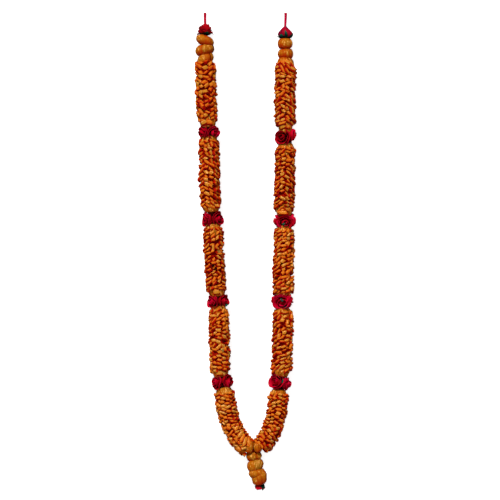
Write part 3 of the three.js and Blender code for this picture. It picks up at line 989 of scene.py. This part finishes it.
def petal_rope(side, route, number, seed, inner):
    """A rope of folded petals over a packed core, with a ball of smooth petals at each tied end."""
    draw = random.Random(seed)
    node = f"{side}_petal_rope_{number}"
    plan = {**PLAIN_WEAVE, **WEAVES[side][number - 1]}
    start, end, _ = route.measure(node)
    length = end - start
    first = plan["caps"][0] + END_ROOM
    last = length - plan["caps"][1] - (BLUNT_ROOM if inner else END_ROOM)
    parts = woven_petals(plan, first, last, inner, draw)
    parts += [extra_petal(route, start, *petal) for petal in EXTRA_PETALS.get((side, number), ())]
    core = kernel(CORE_REACH, last - first + (BLUNT_EXTRA if inner else CORE_EXTRA), blunt=5)
    parts.append(reshape(core, lambda x, y, z: (x, y, z + first - CORE_START)))
    if plan["caps"][0] > SHOWN_CAP:
        parts.append(rope_cap(plan, draw))
    if not inner:
        parts.append(reshape(rope_cap(plan, draw), lambda x, y, z: (x, -y, length - z)))
    finished(route.thread(joined(node + "_petals", parts), start), node, CRISP)


# Roses


def flower(layers, reach, height, draw, base=0.0, sheet=ROSE_PETAL, shade=1.0):
    """Cupped petals round their own Z. A layer has a count, how far out and up its rims are as shares
    of the reach and the height, its petals' half width in radians, how far the rims roll out and how
    far they close over the heart. Each petal darkens towards its base with painted shade, and shade
    is how bright the rims are."""
    parts = []
    for number, (count, spread, rise, half, roll, close) in enumerate(layers):
        for i in range(count):
            at = 2 * math.pi * (i + draw.uniform(-0.15, 0.15)) / count + 1.3 * number
            top = height * rise * draw.uniform(0.92, 1.03)
            wide = reach * spread * draw.uniform(0.92, 1.05)
            ruffle = draw.uniform(0, 6)
            dent = draw.uniform(0.04, 0.13) * draw.choice((-1, 1))
            curl = roll * draw.uniform(0.5, 1.5)

            def rule(across, up):
                rim = np.clip(up - 0.65, 0, 1) / 0.35
                swell = np.sin(np.clip(up, 0, 1) * math.pi / 2) ** 0.65
                out = wide * (0.12 + 0.88 * swell) * (1 - 0.08 * across**2) * (1 - close * up**3)
                out = out + reach * (0.05 * across + curl * 0.35 * rim**2)
                out = out + reach * dent * np.sin(2.5 * across + ruffle) * np.sin(3 * up + ruffle)
                rising = base + (top - base) * (0.3 * up + 0.7 * up**1.4)
                rising = rising - height * (curl * 0.3 * rim**2 + 0.07 * across**2 * up)
                rising = rising + height * 0.06 * np.sin(3.5 * across + ruffle) * up**2
                return wound(out, at - half * across, rising)

            # Painted shade: each petal darkens towards its base in the flower's heart
            parts.append(laid(sheet, draw.random(), lambda across, up: shade * up**0.9, rule))
    return thickened(joined("flower", parts))


FULL_ROSE = (
    (2, 0.24, 0.92, 1.8, 0.0, 0.6),
    (3, 0.52, 1.0, 1.4, 0.1, 0.15),
    (3, 0.84, 0.94, 1.15, 0.3, 0.0),
    (5, 1.0, 0.74, 0.95, 0.42, 0.0),
)


# Bits of sepal that show between the roses: place, length, width and turn
GREEN_BITS = {
    "right_band_2_rose_1": [((0.08, 0.069, 0.04), 0.007, 0.004, 0.5)],
    "right_band_3_rose_1": [
        ((0.0758, -0.0901, 0.042), 0.0075, 0.0042, 2.4), ((0.085, -0.1054, 0.035), 0.008, 0.005, 0.3),
    ],
    "right_band_4_rose_1": [((0.0781, -0.2598, 0.04), 0.009, 0.003, 1.3)],
    "left_band_3_rose_1": [((-0.0395, -0.1012, 0.03), 0.006, 0.004, 0.6)],
}


def green_bit(place, long, wide, turn):
    leaf = laid(
        SEPAL, 0.5, lambda across, up: 0.5 + 0.5 * up,
        lambda across, up: (long * (up - 0.5), 0.5 * wide * across, -0.0008 * across**2 - 0.001 * up**2),
    )
    thickened(leaf)
    leaf.data.transform(Matrix.Translation(place) @ Matrix.Rotation(turn, 4, "Z"))
    return leaf


def facing(route, node):
    """The matrix for a flower on the string that faces away from it, its reach, its height and the
    length of string that it takes up."""
    points = corners(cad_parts[node].data)
    stations, _ = route.nearest(points)
    place, _, _, along = route.frames((stations.min() + stations.max()) / 2)
    out = unit(points.mean(0) - place)
    out = unit(out - along * (out @ along))
    offsets = points - place
    height = (offsets @ out).max()
    reach = np.linalg.norm(offsets - np.outer(offsets @ out, out), axis=1).max()
    turn = Matrix(np.stack([along, np.cross(out, along), out], axis=1)).to_4x4()
    return Matrix.Translation(place) @ turn, reach, height, np.ptp(stations)


def band_rose(route, node, seed):
    """A rose of a band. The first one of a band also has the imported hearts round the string."""
    draw = random.Random(seed)
    band = node.rsplit("_", 2)[0]
    matrix, reach, height, room = facing(route, node)
    glow = BAND_GLOW.get(band, 1.0)
    blooms = flower(FULL_ROSE, reach * 1.2, height * 1.04, draw, 0.002, shade=glow)
    wide = np.ptp(corners(blooms.data)[:, 0])
    # The heart inside the petals is near black painted shadow; in the brighter bands it is crimson
    # darkened to painted shade
    heart = kernel(reach * 0.7, height * 0.72, CRIMSON if glow > 1 else PAINTED_SHADOW)
    dye(heart, "fold", 0.35)
    model = joined(node + "_petals", [blooms, heart])
    reshape(model, lambda x, y, z: (x * BAND_FILL[band] * room / wide, y, z))
    nod = Matrix.Rotation(draw.uniform(-0.3, 0.3), 4, "Y")
    nod = nod @ Matrix.Rotation(draw.uniform(-0.25, 0.25), 4, "X")
    matrix = matrix @ Matrix.Translation((ROSE_SHIFTS.get(node, 0), 0, 0))
    model.data.transform(matrix @ nod)
    if node.endswith("_1"):
        start, end, _ = route.measure(node)
        # The hearts round the string are near black painted shadow
        heart = kernel(0.6 * height, end - start, PAINTED_SHADOW, blunt=4)
        model = joined(model.name, [model, route.thread(heart, start)])
    for bit in GREEN_BITS.get(node, ()):
        model = joined(model.name, [model, green_bit(*bit)])
    move_corners(model.data, pressed(corners(model.data)))
    finished(model, node)


def bud_reach(share):
    """How wide a closed bud is, as a share of its widest, from its base to its tip."""
    return np.sin(math.pi * (0.14 + 0.84 * np.clip(share, 0, 1) ** 0.8))


def closed_bud(reach, height, draw):
    """A pointed bud up its own Z: petals wrapped round each other."""
    parts = []
    for i in range(6):
        at = 2 * math.pi * i / 3 + 0.9 * (i // 3) + draw.uniform(-0.1, 0.1)
        grow = 0.86 if i < 3 else 1.0
        top = height * (1.0 if i < 3 else draw.uniform(0.84, 0.95))

        def rule(across, up):
            out = reach * grow * bud_reach(up) * (1 - 0.03 * across**2) + reach * 0.06 * across
            return wound(out, at - 1.25 * across - 0.35 * up, top * up)

        tint = draw.uniform(1.1, 1.4)
        # Painted shade darkens each petal towards the bud's base and its tucked-in edge
        parts.append(laid(BUD_PETAL, tint, lambda across, up: 0.35 + 0.48 * up + 0.12 * across, rule))
    bud = thickened(joined("flower", parts))
    # Its heart is near black painted shadow
    return joined("flower", [bud, kernel(reach * 0.75, height * 0.8, PAINTED_SHADOW)])


def sepals(name, reach, height, star, draw):
    """A star of sepals round a base. Each has its turn, its length, its half width in radians and its
    lift, from 0 where it stands straight out to 1 where it follows the bud."""
    parts = []
    for turn, long, half, lift in star:
        sway = draw.uniform(-0.15, 0.15)

        def rule(across, up):
            hugging = reach * (bud_reach(long * up / height) + 0.12)
            standing = reach * 0.4 + long * up
            out = lift * hugging + (1 - lift) * standing - reach * 0.05 * across**2
            rising = long * up * lift + 0.2 * height * up**2 * (1 - lift) - 0.0005
            narrow = half * reach / np.maximum(out, 0.3 * reach)
            return wound(out, turn + sway * up**2 - narrow * across, rising)

        parts.append(laid(SEPAL, draw.random(), lambda across, up: up - 0.3 * np.abs(across), rule))
    star = thickened(joined(name, parts), SEPAL_THICKNESS)
    return joined(name, [star, kernel(reach * 0.55, height * 0.14, GREEN)])


def upward(model, foot):
    """Turns a model that stands on its Z to point up the string, with its foot at a station."""
    return reshape(model, lambda x, y, z: (x, -y, foot - z))


RAGGED_ROSE = (
    (2, 0.3, 1.0, 1.6, 0.0, 0.5),
    (3, 0.62, 0.97, 1.3, 0.1, 0.35),
    (4, 0.88, 0.8, 1.1, 0.3, 0.15),
)
TORN_RIM = ((6, 1.0, 0.4, 0.6, 0.7, 0.0), (5, 0.85, 0.62, 0.6, 0.5, 0.0))
SMALL_ROSE = ((3, 0.5, 0.95, 1.3, 0.1, 0.1), (4, 0.8, 1.0, 1.0, 0.15, 0.0), (5, 0.96, 0.9, 0.9, 0.1, 0.0))

# The stars of sepals under the top flowers and over the pendant's
STARS = {
    "left": [(0.3 + 1.26 * i, 0.0085, 0.5, 0.35) for i in range(5)],
    "right": [
        (3.0, 0.0165, 0.22, 1.0), (1.9, 0.012, 0.5, 0.9), (0.6, 0.014, 0.5, 0.88),
        (-0.7, 0.014, 0.5, 0.8), (-1.75, 0.0125, 0.42, 0.15), (-2.5, 0.009, 0.45, 0.8),
    ],
    "pendant": [
        (0.8, 0.0135, 0.5, 1.0), (2.3, 0.009, 0.4, 0.9), (3.6, 0.01, 0.4, 0.9), (4.9, 0.006, 0.4, 0.8),
    ],
}


def top_rose(side, route, seed):
    """The flower under a tie tail, its tip up the string, and the sepals under it."""
    draw = random.Random(seed)
    rose_start, rose_end, reach = route.measure(f"{side}_top_rose")
    _, sepal_end, _ = route.measure(f"{side}_top_sepals")
    foot = max(rose_end, sepal_end)
    height = foot - rose_start
    if side == "left":
        rose = flower(RAGGED_ROSE, reach * 1.3, height * 1.06, draw, shade=0.62)
        torn = flower(TORN_RIM, reach * 1.25, height, draw, sheet=RAGGED_PETAL, shade=0.68)
        # Its heart is near black painted shadow
        rose = joined("flower", [rose, torn, kernel(reach * 0.6, height * 0.8, PAINTED_SHADOW)])
    else:
        rose = closed_bud(reach * 1.06, height * 1.12, draw)
    rose = joined(f"{side}_top_rose_petals", [upward(rose, foot)])
    finished(route.thread(rose, 0), f"{side}_top_rose")
    star = sepals(f"{side}_top_sepal_star", reach * 1.04, height, STARS[side], draw)
    finished(route.thread(upward(star, foot), 0), f"{side}_top_sepals")


def pendant_rose(route, seed):
    """The small flower at the pendant's foot, and the sepals between it and the last ball."""
    draw = random.Random(seed)
    _, end, reach = route.measure("pendant_rose")
    start, _, _ = route.measure("pendant_sepals")
    height = end - start
    rose = flower(SMALL_ROSE, reach, height, draw)
    # Its heart is near black painted shadow
    rose = joined("pendant_rose_petals", [rose, kernel(reach * 0.7, height * 0.8, PAINTED_SHADOW)])
    finished(route.thread(rose, start), "pendant_rose")
    star = sepals("pendant_sepal_star", reach * 0.96, height * 1.6, STARS["pendant"], draw)
    finished(route.thread(star, start), "pendant_sepals")


# Strings


def ply_ring(radius):
    """A round whose outline has a lobe for each ply."""
    ring = begin(bpy.ops.mesh.primitive_circle_add, vertices=18, radius=radius)

    def lobes(x, y, z):
        round_it = np.arctan2(y, x)
        out = radius * (YARN_GROOVE + (1 - YARN_GROOVE) * np.abs(np.cos(1.5 * round_it)) ** 0.6)
        return out * np.cos(round_it), out * np.sin(round_it), z

    return reshape(ring, lobes)


def yarn(name, length, radius, turn, steps):
    """A twisted cord of three plies up Z, closed at both cut ends."""
    ring = ply_ring(radius)
    modify(
        ring, "SCREW", axis="Z", angle=2 * math.pi, screw_offset=turn, iterations=math.ceil(length / turn),
        steps=steps, render_steps=steps, use_merge_vertices=False,
    )
    with editing(ring):
        bpy.ops.mesh.select_mode(type="VERT")
        pick_all()
        bpy.ops.mesh.bisect(plane_co=(0, 0, length), plane_no=(0, 0, 1), clear_outer=True, use_fill=True)
        bpy.ops.mesh.select_all(action="DESELECT")
        bpy.ops.mesh.select_non_manifold()
        bpy.ops.mesh.edge_face_add()
        pick_all()
        bpy.ops.mesh.normals_make_consistent(inside=False)
    # Painted shade: the yarn darkens into the grooves between its plies
    away = np.linalg.norm(corners(ring.data)[:, :2], axis=1) / radius
    dye(ring, "fold", (away - YARN_GROOVE) / (1 - YARN_GROOVE))
    ring.data.materials.append(YARN)
    return joined(name, [ring])


def string(route, node):
    cord = yarn(node + "_yarn", route.length, STRING_DIAMETER / 2, STRING_TURN, STRING_STEPS)
    finished(route.thread(cord, 0), node)


def knot(node):
    """Turns of yarn pulled tight over each other."""
    low, high = (np.array(corner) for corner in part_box(node))
    middle, reach = (low + high) / 2, (high - low).min() / 2
    parts = []
    for turn in ((0, 0, 0), (math.pi / 2, 0, 0.5), (math.pi / 2, 0, 2.0)):
        loop = begin(
            bpy.ops.mesh.primitive_torus_add, major_radius=0.55 * reach, minor_radius=0.45 * reach,
            major_segments=16, minor_segments=8, location=middle, rotation=turn,
        )
        dye(loop, "fold", 0.7)
        parts.append(loop)
    model = joined(node + "_yarn", parts)
    with editing(model):
        pick_all()
        bpy.ops.transform.vertex_random(offset=0.06 * reach, seed=3)
    model.data.materials.append(YARN)
    finished(model, node)


def tie_tail(route, node):
    """The string's free end, which widens and flattens a little towards its square cut."""
    cord = yarn(node + "_yarn", route.length, TAIL_DIAMETER / 2, TAIL_TURN, TAIL_STEPS)
    long = route.length
    reshape(cord, lambda x, y, z: (x * (1.05 + 0.4 * z / long), y * (0.95 - 0.1 * z / long), z))
    finished(route.thread(cord, 0), node)


# Stage: a white floor, soft light from beyond the garland's top, and the camera above


def stage():
    floor = begin(bpy.ops.mesh.primitive_plane_add, size=FLOOR_SIDE, location=(0, 0, FLOOR_HEIGHT))
    floor.name = "floor"
    paper = Finish(
        "white_floor", Roughness=0.9, Base_Color=colour("e8e8e8"),
        Emission_Color=colour("ffffff"), Emission_Strength=FLOOR_GLOW,
    )
    floor.data.materials.append(paper.material)
    floor.visible_diffuse = floor.visible_glossy = False
    world = bpy.data.worlds.new("studio")
    world.use_nodes = True
    background = world.node_tree.nodes["Background"]
    direction = Wire(background.outputs[0]).node("TexCoord", out="Generated")
    height = direction.node("SeparateXYZ", {0: direction}, out="Z")
    light = height.step(-0.12, -0.04, 0.1, 1.0) - height.step(0.1, 0.3, 0.0, 1.0 - AMBIENT)
    world.node_tree.links.new(light.socket, background.inputs["Strength"])
    background.inputs["Color"].default_value = colour("ffffff")
    bpy.context.scene.world = world
    bpy.ops.object.select_all(action="DESELECT")
    bpy.ops.object.light_add(type="SUN", location=KEY_PLACE)
    lamp = bpy.context.object
    lamp.name = "soft_light"
    lamp.data.energy = KEY
    lamp.data.angle = KEY_ANGLE
    lamp.rotation_euler = Vector(KEY_FROM).to_track_quat("Z", "Y").to_euler()
    distance = PICTURE_SIDE * LENS / SENSOR
    bpy.ops.object.camera_add(location=(*PICTURE_MIDDLE, MIDDLE_HEIGHT + distance))
    camera = bpy.context.object
    camera.data.lens = LENS
    camera.data.sensor_width = SENSOR
    camera.data.clip_end = 100
    bpy.context.scene.camera = camera
    bpy.context.scene.view_settings.view_transform = "Standard"


stage()
LEFT, RIGHT, PENDANT = Route(LEFT_ROUTE), Route(RIGHT_ROUTE), Route(PENDANT_ROUTE)
tie_tail(Route(LEFT_TAIL), "left_tie_tail")
tie_tail(Route(RIGHT_TAIL), "right_tie_tail")
for side, route, inner in (("left", LEFT, 1), ("right", RIGHT, -1)):
    seeds = SEEDS[side]
    string(route, f"{side}_string")
    top_rose(side, route, seeds["rose"])
    for number, shape in enumerate(TOP_BALLS[side], start=1):
        node = f"{side}_top_ball_{number}"
        petal_ball(route, node, TOP_BALL_PETALS[side], seeds["ball"] + number, **shape)
    for number in range(1, 6):
        petal_rope(side, route, number, seeds["rope"] + number, inner if number == 5 else 0)
    for band in range(1, 5):
        for number in (1, 2, 3):
            band_rose(route, f"{side}_band_{band}_rose_{number}", seeds["band"] + 10 * band + number)
    end_ball(side, seeds["end"])
knot("junction_knot")
knot("pendant_knot")
string(PENDANT, "pendant_string")
seeds = SEEDS["pendant"]
for number, shape in enumerate(PENDANT_BALLS, start=1):
    node = f"pendant_ball_{number}"
    petal_ball(PENDANT, node, PENDANT_BALL_PETALS, seeds["ball"] + number, **shape)
pendant_rose(PENDANT, seeds["rose"])

# The petals that the others were copied from
for model in (*BARS, *BROAD, *STRIPS, LONG, BULGE, TIP, PAINTED_SHADOW_PIT):
    bpy.data.objects.remove(model)
for model in (BALL_PETAL, ROSE_PETAL, BUD_PETAL, RAGGED_PETAL, SEPAL):
    bpy.data.objects.remove(model)
